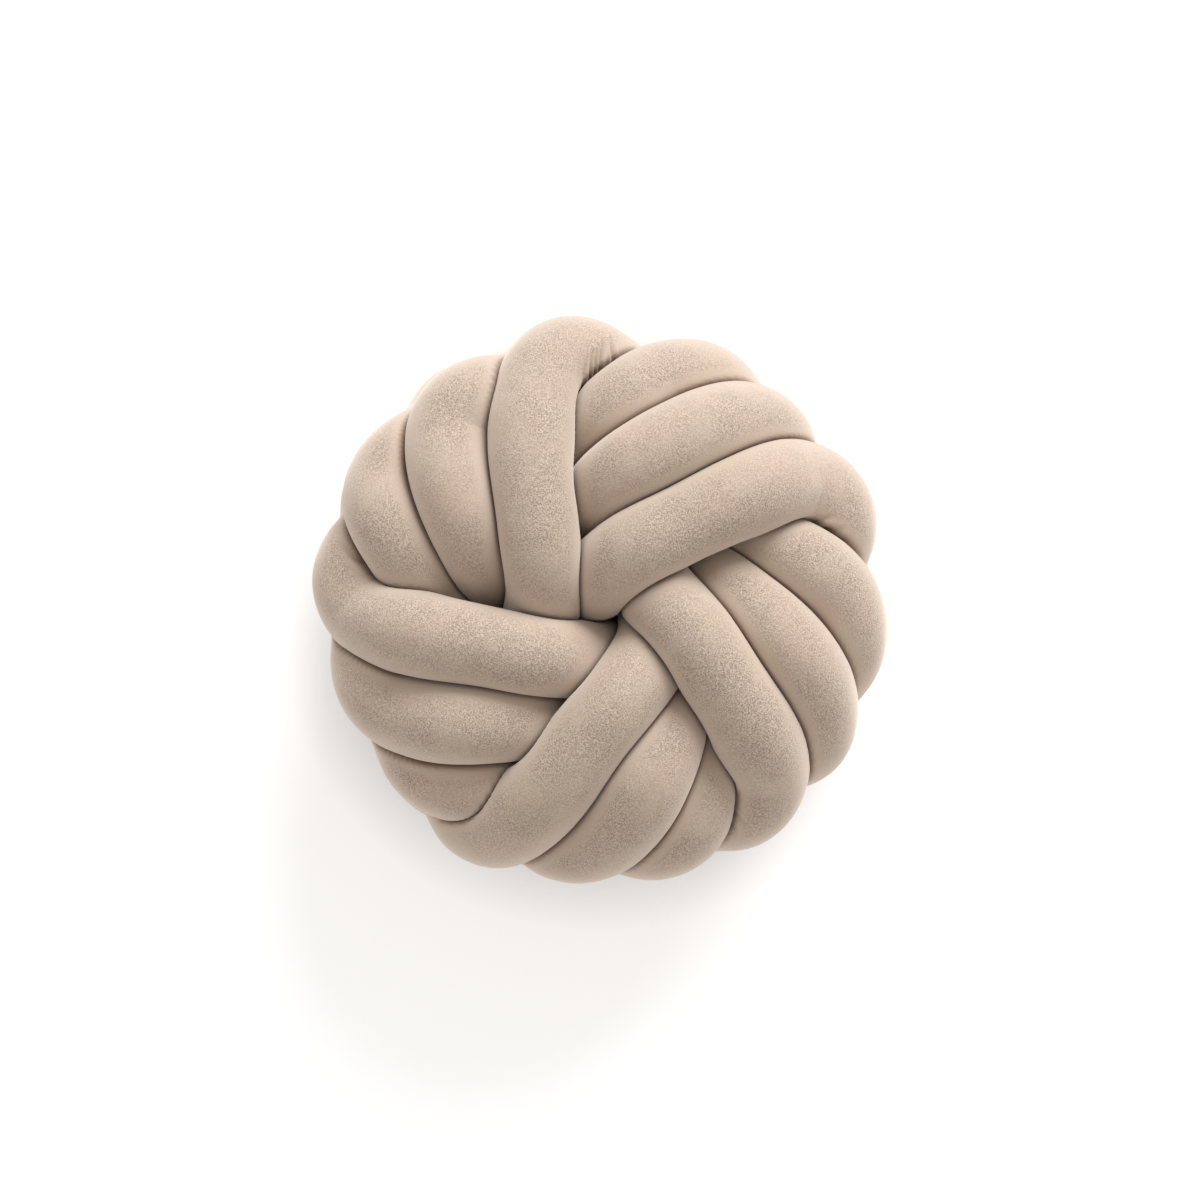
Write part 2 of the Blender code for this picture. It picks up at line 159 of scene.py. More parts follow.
# Every lay of every arm on the face, in plan from the cushion's middle.
RUNS: Tuple[Run, ...] = (
    Run(0, 1, (-33, -8), (-42, 27), (-50, 86), (-51, 126),
        (-46, 160), (-36, 184), (-22, 191), (14, 168)),
    Run(0, 2, (-82, 6), (-88, 28), (-108, 75), (-116, 110),
        (-118, 132), (-115, 144), (-107, 154), (-81, 153)),
    Run(0, 3, (-132, 6), (-140, 24), (-150, 45), (-159, 59),
        (-165, 74), (-166, 85), (-162, 97), (-140, 111)),
    Run(1, 1, (-11, -46), (-39, -45), (-102, -34), (-141, -25),
        (-173, -15), (-187, -3), (-192, 12), (-182, 37)),
    Run(1, 2, (-43, -96), (-79, -96), (-111, -96), (-135, -93),
        (-153, -85), (-165, -77), (-172, -67), (-172, -39)),
    Run(1, 3, (-69, -140), (-82, -141), (-94, -141), (-106, -141),
        (-118, -139), (-127, -134), (-134, -128), (-139, -105)),
    Run(2, 1, (37, -49), (28, -65), (-17, -120), (-42, -150),
        (-67, -169), (-83, -176), (-96, -173), (-100, -158)),
    Run(2, 2, (57, -88), (51, -110), (36, -145), (22, -166),
        (9, -178), (-3, -185), (-17, -187), (-38, -177)),
    Run(2, 3, (80, -130), (79, -145), (76, -155), (72, -167),
        (66, -177), (60, -181), (50, -184), (24, -181)),
    Run(3, 1, (34, 10), (56, -8), (99, -64), (117, -95),
        (130, -125), (131, -146), (119, -159), (91, -162)),
    Run(3, 2, (80, 27), (102, 7), (133, -25), (159, -55),
        (169, -78), (167, -93), (160, -108), (144, -117)),
    Run(3, 3, (130, 45), (143, 37), (155, 27), (169, 20),
        (183, 5), (190, -16), (188, -39), (176, -59)),
    Run(4, 1, (-7, 9), (19, 32), (79, 67), (114, 81),
        (150, 92), (176, 89), (186, 72), (177, 38)),
    Run(4, 2, (-6, 80), (16, 95), (47, 112), (76, 126),
        (100, 134), (115, 135), (127, 132), (135, 115)),
    Run(4, 3, (-9, 127), (5, 140), (20, 150), (32, 158),
        (47, 165), (64, 168), (81, 164), (100, 146)),
)

# The outline, as distances from the same middle.
LOBES: Tuple[Lobe, ...] = (
    Lobe(21.7, 230, 8.0, 211),
    Lobe(42.4, 217, 36.0, 208),
    Lobe(60.6, 217, 53.0, 210),
    Lobe(99.1, 224, 81.0, 198),
    Lobe(125.9, 222, 112.0, 202),
    Lobe(150.0, 220, 136.0, 207),
    Lobe(173.0, 225, 163.0, 208),
    Lobe(201.0, 219, 189.0, 207),
    Lobe(224.9, 219, 213.0, 206),
    Lobe(242.2, 231, 232.0, 214),
    Lobe(265.3, 221, 255.0, 214),
    Lobe(285.0, 224, 275.0, 215),
    Lobe(305.9, 230, 296.0, 218),
    Lobe(328.5, 227, 318.0, 218),
    Lobe(351.1, 227, 339.0, 219),
)

# How the tube lies at each place of an arm, and its height there in diameters for each lay.
PLACES: Tuple[Place, ...] = (
    Place("core", 0.15, 0.0, 0.84),
    Place("tuck", 0.9, 0.0, 0.85),
    Place("inner", 1.0, 0.0, 0.88),
    Place("chest", 1.0, 0.0, 0.93),
    Place("shoulder", 1.0, 0.3, 0.95),
    Place("turn", 1.0, 0.6, 0.97),
    Place("hook", 1.0, 1.0, 0.98),
    Place("under", 1.0, 1.0, 1.00),
    Place("tail", 0.8, 0.5, 1.02),
)
LAY_HEIGHT: Dict[int, Tuple[float, ...]] = {
    1: (0.12, 0.45, 0.85, 1.20, 1.20, 1.05, 0.75, 0.45, 0.10),
    2: (0.16, 0.37, 0.67, 1.00, 1.05, 0.95, 0.70, 0.45, 0.10),
    3: (0.10, 0.19, 0.46, 0.80, 0.90, 0.85, 0.65, 0.45, 0.10),
}

# How each lay rises through the core, and what it follows on the under side.
CORE: Dict[int, Core] = {1: Core(0.66, 195.0), 2: Core(1.50, 177.0), 3: Core(1.55, 212.0)}
BACK: Dict[int, Back] = {1: Back(0, 1, 2), 2: Back(4, 3, 3), 3: Back(4, 2, 3)}

# The folds that show at the hooks of the arms.
CREASES: Tuple[Crease, ...] = (
    Crease(1, (12.0, 184), (10.0, 203), 1.2, 4.0),
    Crease(1, (1.0, 178), (4.2, 201), 1.1, 3.6),
    Crease(1, (-2.5, 176), (0.3, 198), 1.1, 3.4),
    Crease(1, (-6.3, 173), (-3.4, 194), 1.1, 3.2),
    Crease(1, (-11.5, 167), (-7.4, 190), 1.3, 2.8),
    Crease(1, (-15.0, 165), (-12.5, 186), 1.8, 1.8),
    Crease(1, (172, 55), (190, 52), 2.2, 2.6),
    Crease(1, (182, 48), (194, 45), 2.0, 1.8),
    Crease(1, (166, 60), (183, 63), 2.0, 1.6),
    Crease(1, (-178, 26), (-201, 44), 3.2, 2.6),
    Crease(1, (-182, 28), (-192, 34), 1.4, 1.6),
    Crease(1, (-108, -169), (-129, -174), 1.8, 2.4),
    Crease(1, (107, -166), (114, -177), 1.8, 1.8),
    Crease(1, (104, -172), (107, -187), 1.8, 1.6),
)


def ramp(values: np.ndarray, low: float, width: float) -> np.ndarray:
    """Rise from 0 at the low end to 1 over a width."""
    return np.clip((values - low) / width, 0, 1)


def eased(share: np.ndarray) -> np.ndarray:
    """Ease shares of 0 to 1 in and out."""
    return share * share * (3 - 2 * share)


def unit(rows: np.ndarray) -> np.ndarray:
    """Bring each row to a length of 1."""
    return rows / np.linalg.norm(rows, axis=1)[:, None]


def headings(directions: np.ndarray) -> np.ndarray:
    """Unit vectors in plan for directions in degrees."""
    angle = np.radians(directions)
    return np.stack((np.cos(angle), np.sin(angle)), 1)


def closed_up(rows: np.ndarray) -> np.ndarray:
    """Repeat a loop's first row at its end."""
    return np.vstack((rows, rows[:1]))


def read_at(places: np.ndarray, along: np.ndarray, rows: np.ndarray) -> np.ndarray:
    """Read rows that are given at distances along a line at other places on it."""
    return np.stack([np.interp(places, along, column) for column in rows.T], 1)


def averaged(values: np.ndarray, reach: int, passes: int = 3) -> np.ndarray:
    """Average a closed row of values, pass after pass.

    Args:
        values: The values round a loop.
        reach: How many values on either side count.
        passes: How often they are averaged.

    Returns:
        The smoother values.
    """
    weights = np.ones(2 * reach + 1) / (2 * reach + 1)
    for _ in range(passes):
        around = np.concatenate((values[-reach:], values, values[:reach]))
        values = np.convolve(around, weights, "valid")
    return values


def turned(points: np.ndarray, angle: float) -> np.ndarray:
    """Turn points about the Z axis.

    Args:
        points: Rows of X, Y and Z.
        angle: The turn in radians.

    Returns:
        The turned rows.
    """
    cosine, sine = math.cos(angle), math.sin(angle)
    result = np.array(points, dtype=float)
    result[:, 0] = cosine * points[:, 0] - sine * points[:, 1]
    result[:, 1] = sine * points[:, 0] + cosine * points[:, 1]
    return result


def smooth_loop(points: np.ndarray, pieces: int = SPAN_PIECES) -> np.ndarray:
    """Run a closed centripetal Catmull-Rom curve through points.

    Args:
        points: The rows that the curve passes through.
        pieces: How many points stand for each span.

    Returns:
        The curve's points.
    """
    curve = []
    count = len(points)
    share = np.arange(pieces)[:, None] / pieces
    for index in range(count):
        a, b, c, d = (points[(index + shift) % count] for shift in (-1, 0, 1, 2))
        t1 = math.sqrt(np.linalg.norm(b - a))
        t2 = t1 + math.sqrt(np.linalg.norm(c - b))
        t3 = t2 + math.sqrt(np.linalg.norm(d - c))
        t = t1 + share * (t2 - t1)
        ab = ((t1 - t) * a + t * b) / t1
        bc = ((t2 - t) * b + (t - t1) * c) / (t2 - t1)
        cd = ((t3 - t) * c + (t - t2) * d) / (t3 - t2)
        abc = ((t2 - t) * ab + t * bc) / t2
        bcd = ((t3 - t) * bc + (t - t1) * cd) / (t3 - t1)
        curve.append(((t2 - t) * abc + (t - t1) * bcd) / (t2 - t1))
    return np.vstack(curve)


def spread_along(values: np.ndarray, pieces: int = SPAN_PIECES) -> np.ndarray:
    """Spread values given at a loop's points evenly over the pieces between them.

    Args:
        values: One row for each point.
        pieces: How many rows stand for each span.

    Returns:
        The spread rows.
    """
    count = len(values)
    return read_at(np.arange(count * pieces) / pieces, np.arange(count + 1), closed_up(values))


def lengths_along(points: np.ndarray) -> Tuple[np.ndarray, np.ndarray]:
    """Measure a closed polyline.

    Args:
        points: Rows whose first three columns are its points.

    Returns:
        The rows with the first repeated at the end, and the distance to each.
    """
    closed = closed_up(points)
    steps = np.linalg.norm(np.diff(closed[:, :3], axis=0), axis=1)
    return closed, np.concatenate(([0.0], np.cumsum(steps)))


def evenly_spaced(points: np.ndarray, step: float) -> np.ndarray:
    """Read a closed polyline at equal steps.

    Args:
        points: Rows whose first three columns are its points.
        step: The length of a step, about.

    Returns:
        The rows at those steps.
    """
    closed, along = lengths_along(points)
    places = np.linspace(0.0, along[-1], int(round(along[-1] / step)), endpoint=False)
    return read_at(places, along, closed)


class Loops:
    """Closed centrelines kept in one array, with each point's neighbours."""

    def __init__(self, routes: Sequence[np.ndarray]) -> None:
        """Count the points.

        Args:
            routes: The rows of each loop.
        """
        counts = [len(route) for route in routes]
        self.starts = np.concatenate(([0], np.cumsum(counts)))
        self.loop = np.repeat(np.arange(len(routes)), counts)
        self.place = np.concatenate([np.arange(count) for count in counts])
        self.size = np.array(counts)[self.loop]
        self.first = self.starts[self.loop]
        self.after = self.shifted(1)
        self.before = self.shifted(-1)

    def shifted(self, shift: int) -> np.ndarray:
        """Index of the point that lies some places further along each loop."""
        return self.first + (self.place + shift) % self.size

    def apart(self, steps: float) -> np.ndarray:
        """Find the pairs of points that can press on each other.

        Args:
            steps: How far along its own tube a point leaves its neighbours out.

        Returns:
            A square table, true for points on other tubes or further apart than that.
        """
        gap = np.abs(self.place[:, None] - self.place[None, :])
        gap = np.minimum(gap, self.size[:, None] - gap)
        same = self.loop[:, None] == self.loop[None, :]
        return ~(same & (gap < steps))

    def split(self, points: np.ndarray) -> List[np.ndarray]:
        """The points of each loop."""
        return [points[a:b] for a, b in zip(self.starts[:-1], self.starts[1:])]


@dataclass
class Winding:
    """How the band of tubes is wound, with the sizes that the solids have too.

    Lengths are in metres, the two centres in millimetres. half_height, pressed,
    tightest_bend and own_reach count tube thicknesses, and rim_swell tube radii. The
    fields from push on are the shares that each settling step takes up.
    """

    tube: float = 0.068
    half_height: float = 1.32
    shoulder_power: float = 3.0
    pressed: float = 0.92
    rim_swell: float = 1.00
    tightest_bend: float = 0.70
    own_reach: float = 1.6
    arms: int = 5
    core_centre: Point = (8.0, -12.0)
    regular_centre: Point = (0.0, -3.0)
    flip_axis: float = math.radians(84.0)
    back_hold: float = 0.25
    route_step: float = 0.014
    settle_rounds: int = 220
    push: float = 0.9
    plan_grip: float = 0.8
    plan_rise: float = 0.6
    plan_pull: float = 0.4
    plan_reach: int = 4
    rim_pull: float = 0.7
    form_edge: float = 0.995
    top_pull: float = 0.6
    swell_pull: float = 0.12
    swell_from: float = 0.5
    stiff_passes: int = 3
    fairing: float = 0.35
    evening: float = 0.5
    tightening: float = 0.01
    unkinking: float = 0.7

    def face_route(self, run: Run) -> np.ndarray:
        """Lay out one arm of one lay on the face.

        Args:
            run: The lay's plan.

        Returns:
            Its points, from the core near mid height to the rim.
        """
        core = CORE[run.lay]
        angle = math.radians(core.direction) + run.arm * 2 * math.pi / self.arms
        rise = (
            self.core_centre[0] + core.distance * self.tube * MM_IN_M * math.cos(angle),
            self.core_centre[1] + core.distance * self.tube * MM_IN_M * math.sin(angle),
        )
        plan = [rise] + [getattr(run, place.column) for place in PLACES[1:]]
        return np.array([
            (x / MM_IN_M, y / MM_IN_M, height * self.tube)
            for (x, y), height in zip(plan, LAY_HEIGHT[run.lay])
        ])

    def regular_route(self, lay: int) -> np.ndarray:
        """Take the mean of a lay's five arms, each turned back to the first arm's place.

        Args:
            lay: Number of the lay.

        Returns:
            The points of the regular arm.
        """
        x, y = self.regular_centre
        centre = np.array((x / MM_IN_M, y / MM_IN_M, 0.0))
        arms = [
            turned(self.face_route(run) - centre, -run.arm * 2 * math.pi / self.arms)
            for run in RUNS
            if run.lay == lay
        ]
        return sum(arms) / self.arms

    def back_route(self, arm: int, lay: int) -> np.ndarray:
        """Lay out one turn on the under side: the regular arm, turned over.

        Args:
            arm: Number of the arm that turns over the rim.
            lay: Number of the lay.

        Returns:
            Its points, from the rim in to the core.
        """
        back = BACK[lay]
        step = 2 * math.pi / self.arms
        face = turned(self.regular_route(back.lay), back.arm_offset * step)
        cosine, sine = math.cos(2 * self.flip_axis), math.sin(2 * self.flip_axis)
        flipped = np.array(face)
        flipped[:, 0] = cosine * face[:, 0] + sine * face[:, 1]
        flipped[:, 1] = sine * face[:, 0] - cosine * face[:, 1]
        flipped[:, 2] = -face[:, 2]
        return turned(flipped, arm * step)[::-1]

    def drawn_loop(self, lay: int) -> Tuple[np.ndarray, np.ndarray]:
        """Lay out a lay's whole closed route.

        Args:
            lay: Number of the lay.

        Returns:
            Its points, and the hold, swell and fullness of each.
        """
        face_grip = [(place.hold, place.swell, place.full) for place in PLACES]
        back_grip = [(self.back_hold * hold, *rest) for hold, *rest in reversed(face_grip)]
        points, grip = [], []
        arm = 0
        for _ in range(self.arms):
            run = next(row for row in RUNS if row.arm == arm and row.lay == lay)
            points.extend(self.face_route(run))
            points.extend(self.back_route(arm, lay)[1:])
            grip.extend(face_grip)
            grip.extend(back_grip[1:])
            arm = (arm + BACK[lay].next_arm) % self.arms
        return np.array(points), np.array(grip)

    @staticmethod
    def around(rows: Sequence[Pair]) -> np.ndarray:
        """Read values that go once round the middle at each whole degree.

        Args:
            rows: Pairs of a direction and a value.

        Returns:
            One value for each degree.
        """
        angles, values = np.array(sorted(rows)).T
        turn = len(DEGREES)
        angles = np.concatenate((angles - turn, angles, angles + turn))
        return np.interp(DEGREES, angles, np.tile(values, 3))

    def outline_points(self) -> np.ndarray:
        """Draw the face's outline: lobes that fall off to a notch on either side.

        Returns:
            One point in plan for each degree.
        """
        tops = [(lobe.bulge_direction, lobe.bulge) for lobe in LOBES]
        notches = [(lobe.notch_direction, lobe.notch) for lobe in LOBES]
        bulge, notch = self.around(tops), self.around(notches)
        fall = self.around(
            [(direction, 0.0) for direction, _ in tops]
            + [(direction, 1.0) for direction, _ in notches]
        )
        reach = (bulge - (bulge - notch) * fall ** 2) / MM_IN_M
        return reach[:, None] * headings(DEGREES)

    def rim_distances(self) -> np.ndarray:
        """Find how far from the middle a tube's centreline may lie inside the outline.

        Returns:
            One distance for each degree.
        """
        outline = self.outline_points()
        clear = self.rim_swell * self.tube / 2
        heading = headings(DEGREES)
        ahead = heading @ outline.T
        aside = heading[:, :1] * outline[:, 1] - heading[:, 1:] * outline[:, 0]
        near = (np.abs(aside) < clear) & (ahead > 0)
        back = np.sqrt(np.clip(clear ** 2 - aside ** 2, 0, None))
        return np.where(near, ahead - back, np.inf).min(1)

    @staticmethod
    def rim_limit(points: np.ndarray, rim: np.ndarray) -> np.ndarray:
        """Farthest that a centreline may lie from the middle, in each point's direction."""
        direction = np.degrees(np.arctan2(points[:, 1], points[:, 0])) % len(DEGREES)
        return np.interp(direction, np.arange(len(DEGREES) + 1), np.append(rim, rim[0]))

    def pushed_apart(
        self, points: np.ndarray, apart: np.ndarray, hold: np.ndarray
    ) -> np.ndarray:
        """Let pressed tubes move each other away for one step, mostly up or down.

        Args:
            points: The centrelines' points.
            apart: The pairs that can press on each other.
            hold: How firmly each point keeps its plan.

        Returns:
            The moved points.
        """
        offset = points[:, None] - points[None, :]
        distance = np.sqrt((offset ** 2).sum(-1)) + TINY
        overlap = np.where(apart, np.clip(self.pressed * self.tube - distance, 0, None), 0)
        touching = (overlap > 0).sum(1).clip(1)
        move = ((overlap / distance)[:, :, None] * offset).sum(1) / touching[:, None]
        move *= self.push
        move[:, :2] *= (1 - self.plan_grip * hold)[:, None]
        move[:, 2] *= 1 + self.plan_rise * hold
        return points + move

    def held_to_plan(
        self, points: np.ndarray, drawn: np.ndarray, hold: np.ndarray, window: np.ndarray
    ) -> np.ndarray:
        """Draw the points back towards the nearest drawn point in plan for one step.

        Args:
            points: The centrelines' points.
            drawn: The points as drawn.
            hold: How firmly each point keeps its plan.
            window: The drawn points that each point may be drawn to.

        Returns:
            The moved points.
        """
        distance = ((points[:, None, :2] - drawn[window][:, :, :2]) ** 2).sum(-1)
        nearest = window[np.arange(len(points)), distance.argmin(1)]
        points[:, :2] += (self.plan_pull * hold)[:, None] * (drawn[nearest, :2] - points[:, :2])
        return points

    def kept_in_form(
        self, points: np.ndarray, swell: np.ndarray, rim: np.ndarray
    ) -> np.ndarray:
        """Bring the points into the rounded form, or out to it where a tube swells.

        Args:
            points: The centrelines' points.
            swell: How strongly each point is drawn outwards.
            rim: The farthest distance from the middle for each degree.

        Returns:
            The moved points.
        """
        power = self.shoulder_power
        limit = self.rim_limit(points, rim)
        across = np.hypot(points[:, 0], points[:, 1]) / limit
        points[:, :2] *= (1 + self.rim_pull * (1 / np.maximum(across, 1) - 1))[:, None]
        highest = self.half_height * self.tube
        top = highest * (1 - np.minimum(across, self.form_edge) ** power) ** (1 / power)
        above = points[:, 2] - np.clip(points[:, 2], -top, top)
        points[:, 2] -= self.top_pull * above
        upward = np.abs(points[:, 2]) / highest
        size = np.clip((across ** power + upward ** power) ** (1 / power), self.swell_from, 1)
        return points * (1 + self.swell_pull * swell * (1 / size - 1))[:, None]

    def stiffened(self, points: np.ndarray, loops: Loops) -> np.ndarray:
        """Let the tubes' stiffness work for one step: fair, evenly spaced, without kinks.

        Args:
            points: The centrelines' points.
            loops: Their neighbours.

        Returns:
            The moved points.
        """
        middle = (points[loops.after] + points[loops.before]) / 2 - points
        bend = (middle[loops.after] + middle[loops.before]) / 2 - middle
        tangent = unit(points[loops.after] - points[loops.before])
        along = (middle * tangent).sum(1)[:, None] * tangent
        points = points - self.fairing * bend + self.evening * along + self.tightening * middle
        half = np.linalg.norm(points[loops.after] - points[loops.before], axis=1) / 2
        middle = (points[loops.after] + points[loops.before]) / 2 - points
        curvature = 2 * np.linalg.norm(middle, axis=1) / half ** 2
        kink = np.clip(curvature * self.tightest_bend * self.tube - 1, 0, 1)
        return points + self.unkinking * kink[:, None] * middle

    def settled_routes(self) -> List[np.ndarray]:
        """Let the drawn tubes press each other into place.

        Returns:
            The centreline of each lay, with its fullness as a fourth column.
        """
        rows = []
        for lay in Lay:
            points, grip = self.drawn_loop(lay.value)
            curve = np.hstack((smooth_loop(points), spread_along(grip)))
            rows.append(evenly_spaced(curve, self.route_step))
        loops = Loops(rows)
        drawn, (hold, swell, full) = np.vstack(rows)[:, :3], np.vstack(rows)[:, 3:].T
        apart = loops.apart(self.own_reach * self.tube / self.route_step)
        shifts = range(-self.plan_reach, self.plan_reach + 1)
        window = np.stack([loops.shifted(shift) for shift in shifts], 1)
        rim = self.rim_distances()
        points = drawn.copy()
        for _ in range(self.settle_rounds):
            points = self.pushed_apart(points, apart, hold)
            points = self.held_to_plan(points, drawn, hold, window)
            points = self.kept_in_form(points, swell, rim)
            for _ in range(self.stiff_passes):
                points = self.stiffened(points, loops)
        return loops.split(np.hstack((points, full[:, None])))


@dataclass
class Crowd:
    """Close-set centreline points of all the tubes, which press on each other."""

    routes: List[np.ndarray]
    step: float = 0.005
    points: np.ndarray = field(init=False)
    tube: np.ndarray = field(init=False)
    along: np.ndarray = field(init=False)

    def __post_init__(self) -> None:
        """Set the points along every route."""
        dense = [evenly_spaced(smooth_loop(route[:, :3]), self.step) for route in self.routes]
        self.points = np.vstack(dense)
        self.tube = np.repeat(np.arange(len(dense)), [len(route) for route in dense])
        self.along = np.concatenate([np.arange(len(route)) / len(route) for route in dense])


@dataclass(frozen=True)
class DrawnFolds:
    """How the drawn folds run out, rise beside their line, and look.

    The ridges beside a fold are placed in fold widths, and rise by a share of its depth.
    section_reach counts tube thicknesses from the centreline; deepest is in metres.
    """

    inner_end: float = 0.55
    inner_rise: float = 1.5
    outer_end: float = 1.1
    ridge_place: float = 1.9
    ridge_height: float = 0.3
    from_upward: float = -0.35
    upward_range: float = 0.3
    section_reach: float = 0.45
    deepest: float = 0.004
    # painted shade: the share of a fold's depth that darkens the colour in the drawn folds
    shade: float = 0.42


@dataclass(frozen=True)
class BendFolds:
    """The small folds on the inside of sharp bends, below the face.

    pitch, depth, lean, below and height_range are in metres; width, reach and scatter
    count pitches. Bends are the tube's radius over the bend's radius.
    """

    pitch: float = 0.0075
    depth: float = 0.0016
    width: float = 0.26
    reach: int = 3
    scatter: float = 0.3
    lean: float = 0.004
    shallowest: float = 0.35
    deepest: float = 1.0
    most: float = 1.2
    inner_power: float = 1.5
    from_bend: float = 0.45
    bend_range: float = 0.35
    below: float = 0.02
    height_range: float = 0.03
    seed: int = 17


@dataclass
class Skin:
    """Sections of one tube, as fine as the cloth needs.

    Lengths are in metres. tangent_reach, bend_reach and bend_spread count steps of the
    close-set centreline; rounding_reach counts roundings.
    """

    route: np.ndarray
    number: int
    winding: Winding
    drawn: DrawnFolds = field(default_factory=DrawnFolds)
    small: BendFolds = field(default_factory=BendFolds)
    sides: int = 80
    span_pieces: int = 24
    step: float = 0.001
    tangent_reach: int = 3
    bend_reach: int = 12
    from_bend: float = 0.25
    bend_range: float = 0.2
    bend_spread: int = 15
    coarse: float = 0.0047
    fine: float = 0.0024
    finest: float = 0.0010
    gap: float = 0.0006
    inner_share: float = 0.9
    press_reach: float = 1.2
    bulge_rounds: int = 4
    most_bulge: float = 1.08
    evening: float = 0.032
    rounding: float = 0.0011
    rounding_reach: float = 30.0
    # width over which painted shade fades out from where two tubes touch
    groove_shade_width: float = 0.0023
    free_width: float = 0.004
    # how the speckled pile gives way near pressed edges and on flanks, and over which upward
    # facing it grows to full; elsewhere the paler tone shows, partly painted sheen
    pressed_reach: float = 0.6
    flank_speckle: float = 0.35
    pile_from: float = 0.3
    pile_range: float = 0.5
    centre: np.ndarray = field(init=False)
    outward: np.ndarray = field(init=False)
    distance: np.ndarray = field(init=False)
    length: float = field(init=False)
    full: np.ndarray = field(init=False)
    bend: np.ndarray = field(init=False)
    limit: np.ndarray = field(init=False)
    radius: np.ndarray = field(init=False)

    def __post_init__(self) -> None:
        """Choose the sections: closer together where the tube bends sharply or is folded."""
        dense = np.hstack((
            smooth_loop(self.route[:, :3], self.span_pieces),
            spread_along(self.route[:, 3:], self.span_pieces),
        ))
        dense = evenly_spaced(dense, self.step)
        curve = dense[:, :3]
        bend = self.bend_of(curve)
        strength = np.linalg.norm(bend, axis=1) * self.winding.tube / 2
        sharp = averaged(ramp(strength, self.from_bend, self.bend_range), self.bend_spread)
        density = 1 / self.coarse + (1 / self.fine - 1 / self.coarse) * sharp
        density = np.maximum(density, 1 / self.finest * self.near_crease(curve))
        closed, along = lengths_along(np.hstack((dense, bend)))
        steps = np.diff(along) * (density + np.roll(density, -1)) / 2
        tally = np.concatenate(([0.0], np.cumsum(steps)))
        wanted = np.linspace(0.0, tally[-1], int(round(tally[-1])), endpoint=False)
        places = np.interp(wanted, tally, along)
        self.distance = places
        self.length = along[-1]
        read = read_at(places, along, closed)
        self.centre, self.full, self.bend = read[:, :3], read[:, 3], read[:, 4:]
        self.outward = self.directions(curve, places, along)

    def bend_of(self, curve: np.ndarray) -> np.ndarray:
        """Measure the centreline's curvature over a few steps either way.

        Args:
            curve: The close-set centreline.

        Returns:
            One vector for each of its points, towards the middle of the bend.
        """
        before, after = np.roll(curve, self.bend_reach, 0), np.roll(curve, -self.bend_reach, 0)
        half = np.linalg.norm(after - before, axis=1) / 2
        return 2 * ((after + before) / 2 - curve) / (half ** 2)[:, None]

    @staticmethod
    def carried_round(tangents: np.ndarray) -> np.ndarray:
        """Carry a side direction round the loop, and share out the twist that closes it.

        Args:
            tangents: Unit tangents of the close-set centreline.

        Returns:
            One side direction for each.
        """
        count = len(tangents)
        sides = np.zeros_like(tangents)
        side = np.cross(tangents[0], (0.0, 0.0, 1.0))
        for index in range(count + 1):
            tangent = tangents[index % count]
            side = side - tangent * side.dot(tangent)
            side = side / math.sqrt(side.dot(side))
            if index < count:
                sides[index] = side
        turn = math.atan2(np.cross(side, sides[0]).dot(tangents[0]), sides[0].dot(side))
        twist = (turn * np.arange(count) / count)[:, None]
        return np.cos(twist) * sides + np.sin(twist) * np.cross(tangents, sides)

    def directions(
        self, curve: np.ndarray, places: np.ndarray, along: np.ndarray
    ) -> np.ndarray:
        """Unit directions out of the centreline, carried round it without a jump.

        Args:
            curve: The close-set centreline.
            places: Where the sections lie along it.
            along: The distance to each of its points, closed.

        Returns:
            One direction for each section and side.
        """
        reach = self.tangent_reach
        tangents = unit(np.roll(curve, -reach, 0) - np.roll(curve, reach, 0))
        both = np.hstack((self.carried_round(tangents), tangents))
        read = read_at(places, along, closed_up(both))
        side = unit(read[:, :3])
        cross = unit(np.cross(read[:, 3:], side))
        angle = np.arange(self.sides) * 2 * math.pi / self.sides
        return (
            np.cos(angle)[None, :, None] * side[:, None, :]
            + np.sin(angle)[None, :, None] * cross[:, None, :]
        )

    def press(self, crowd: Crowd) -> None:
        """Press the sections flat against their neighbours.

        Args:
            crowd: The points of every tube.
        """
        tube = self.winding.tube
        inside = (self.outward * self.bend[:, None, :]).sum(-1)
        limit = self.inner_share / np.maximum(inside, SLIGHT)
        share = self.distance / self.length
        for index, centre in enumerate(self.centre):
            offset = crowd.points - centre
            square = (offset ** 2).sum(1)
            apart = np.abs(share[index] - crowd.along)
            apart = np.minimum(apart, 1 - apart) * self.length
            other = (crowd.tube != self.number) | (apart > self.winding.own_reach * tube)
            near = other & (square < (self.press_reach * self.most_bulge * tube) ** 2)
            if not near.any():
                continue
            toward = self.outward[index] @ offset[near].T + self.gap
            half_way = (square[near] - self.gap ** 2) / (2 * np.maximum(toward, TINY))
            limit[index] = np.minimum(limit[index], half_way.min(1))
        self.limit = limit
        self.radius = self.swollen()

    def swollen(self) -> np.ndarray:
        """Keep each section's area: what is pressed in comes out elsewhere.

        Returns:
            The skin's radii, rounded off where they meet the pressed flats.
        """
        free = self.full * self.winding.tube / 2
        bulge = np.ones(len(free))
        for _ in range(self.bulge_rounds):
            radius = np.minimum(self.limit, (bulge * free)[:, None])
            share = (radius ** 2).mean(1) / free ** 2
            bulge = np.clip(bulge / np.sqrt(share), 1, self.most_bulge)
        full = (self.evened(bulge) * free)[:, None]
        radius = np.minimum(self.limit, full)
        spare = (np.maximum(self.limit, full) - radius) / self.rounding
        spare = np.minimum(spare, self.rounding_reach)
        return radius - self.rounding * np.log1p(np.exp(-spare))

    def evened(self, values: np.ndarray) -> np.ndarray:
        """Average the sections' values over a distance either way along the tube.

        Args:
            values: One value for each section.

        Returns:
            The evened values.
        """
        places = np.arange(0.0, self.length, self.step)
        even = np.interp(places, self.distance, values, period=self.length)
        even = averaged(even, int(self.evening / self.step))
        return np.interp(self.distance, places, even, period=self.length)

    def creases(self) -> List[Crease]:
        """The folds drawn on this tube."""
        return [crease for crease in CREASES if crease.lay == self.number + 1]

